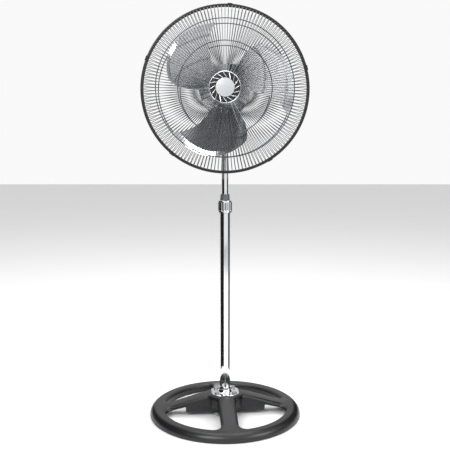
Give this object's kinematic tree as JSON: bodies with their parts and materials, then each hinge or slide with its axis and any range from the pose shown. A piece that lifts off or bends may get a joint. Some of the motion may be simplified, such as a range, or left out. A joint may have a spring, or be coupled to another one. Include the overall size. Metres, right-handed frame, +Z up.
{
  "type": "pedestal fan",
  "caption": "Oscillating pedestal fan with a round wire guard, swept metal blades, a telescopic pole with a clamping nut, and a weighted round base with open spokes.",
  "frame": {"origin": "on the floor under the pole's axis", "axes": "+Z up the pole, the air leaves towards -Y, +X to the right of someone who faces the fan"},
  "size_m": [0.5039, 0.482, 1.2874],
  "materials": {
    "satin_black_moulding": "satin moulded",
    "black_rubber": "matt",
    "cast_iron_weight": "as cast, painted dark",
    "chrome_steel": "bright chrome",
    "bright_wire": "bright plated wire",
    "zinc_steel": "zinc plated",
    "grey_acetal": "smooth",
    "black_plastic": "semi-gloss",
    "die_cast_black": "painted die casting",
    "brushed_badge": "brushed",
    "polished_aluminium": "polished",
    "cast_aluminium": "as cast",
    "ground_steel": "ground",
    "laminated_steel": "laminated",
    "enamelled_copper": "enamelled copper wire",
    "sintered_bronze": "oil-filled",
    "grey_gearbox_plastic": "moulded",
    "white_gear_plastic": "moulded nylon"
  },
  "bodies": {
    "stand": {"base_shell": "satin_black_moulding", "base_feet": "black_rubber", "base_weight": "cast_iron_weight", "pole_flange": "chrome_steel", "flange_bolts": "zinc_steel", "flange_nuts": "zinc_steel", "outer_tube": "chrome_steel", "tube_foot_screw": "zinc_steel", "collar_sleeve": "zinc_steel", "grip_collet": "grey_acetal"},
    "lock_nut": {"height_nut": "chrome_steel"},
    "mast": {"inner_tube": "chrome_steel", "tube_stop": "grey_acetal", "neck_socket": "die_cast_black", "neck_clamp_screw": "zinc_steel", "tilt_bolt": "zinc_steel"},
    "tilt_handle": {"tilt_knob": "black_plastic"},
    "tilt_bracket": {"tilt_knuckle": "die_cast_black", "pivot_clip": "zinc_steel", "link_pin": "zinc_steel"},
    "link": {"swing_link": "zinc_steel"},
    "head": {"front_grille_wires": "bright_wire", "rear_grille_wires": "bright_wire", "front_grille_rings": "bright_wire", "rear_grille_rings": "bright_wire", "rear_grille_plate": "zinc_steel", "grille_screws": "zinc_steel", "grille_rim": "black_plastic", "rim_clips": "black_plastic", "badge_rim": "chrome_steel", "badge_louvre": "black_plastic", "badge_disc": "brushed_badge", "badge_back": "zinc_steel", "badge_screws": "zinc_steel", "stator_core": "laminated_steel", "stator_windings": "enamelled_copper", "motor_front_bell": "cast_aluminium", "motor_rear_bell": "cast_aluminium", "front_bearing": "sintered_bronze", "rear_bearing": "sintered_bronze", "motor_bolts": "zinc_steel", "gearbox_case": "grey_gearbox_plastic", "rear_cover": "black_plastic", "cover_screws": "zinc_steel", "capacitor": "grey_gearbox_plastic", "cable_gland": "black_plastic", "speed_switch": "grey_gearbox_plastic"},
    "rotor": {"fan_blade_1": "polished_aluminium", "fan_blade_2": "polished_aluminium", "fan_blade_3": "polished_aluminium", "blade_hub": "polished_aluminium", "blade_rivets": "polished_aluminium", "spinner_nut": "chrome_steel", "drive_collar": "ground_steel", "motor_shaft": "ground_steel", "rotor_core": "laminated_steel"},
    "gear_cluster": {"worm_wheel": "white_gear_plastic"},
    "crank": {"crank_gear": "ground_steel"},
    "clutch": {"clutch_knob": "black_plastic"},
    "speed_dial": {"speed_knob": "black_plastic"}
  },
  "joints": [
    {"name": "height_slide", "type": "slide", "parent": "stand", "child": "mast", "axis": [0, 0, 1], "range_m": [-0.16, 0.15]},
    {"name": "height_nut_turn", "type": "hinge", "parent": "stand", "child": "lock_nut", "pos_m": [0, 0, 0.67], "axis": [0, 0, 1], "range_deg": [0, 180]},
    {"name": "head_tilt", "type": "hinge", "parent": "mast", "child": "tilt_bracket", "pos_m": [0, 0, 0.94], "axis": [1, 0, 0], "range_deg": [-20, 20]},
    {"name": "tilt_knob_turn", "type": "hinge", "parent": "mast", "child": "tilt_handle", "pos_m": [0.03, 0, 0.94], "axis": [1, 0, 0], "range_deg": [-270, 0]},
    {"name": "oscillation", "type": "hinge", "parent": "tilt_bracket", "child": "head", "pos_m": [0, 0, 1.034], "axis": [0, 0, 1], "range_deg": [-40, 40]},
    {"name": "link_swing", "type": "hinge", "parent": "tilt_bracket", "child": "link", "pos_m": [-0.03, 0.015, 0.96], "axis": [0, 0, 1], "range_deg": [-21, 21]},
    {"name": "fan_spin", "type": "hinge", "parent": "head", "child": "rotor", "pos_m": [0, -0.15, 1.034], "axis": [0, 1, 0], "continuous": true},
    {"name": "gear_turn", "type": "hinge", "parent": "head", "child": "gear_cluster", "pos_m": [0.02005, 0.03116, 1], "axis": [0, 0, 1], "continuous": true},
    {"name": "crank_turn", "type": "hinge", "parent": "head", "child": "crank", "pos_m": [0, 0.034, 0.97], "axis": [0, 0, 1], "continuous": true},
    {"name": "clutch_pull", "type": "slide", "parent": "head", "child": "clutch", "axis": [0, 0, 1], "range_m": [0, 0.008]},
    {"name": "speed_turn", "type": "hinge", "parent": "head", "child": "speed_dial", "pos_m": [0, 0.08, 1.07], "axis": [0, 1, 0], "range_deg": [0, 135]}
  ],
  "couplings": [
    {"joint": "link_swing", "follows": "oscillation", "ratio": 0.52},
    {"joint": "gear_turn", "follows": "fan_spin", "ratio": 0.035714},
    {"joint": "crank_turn", "follows": "fan_spin", "ratio": -0.0089286}
  ]
}
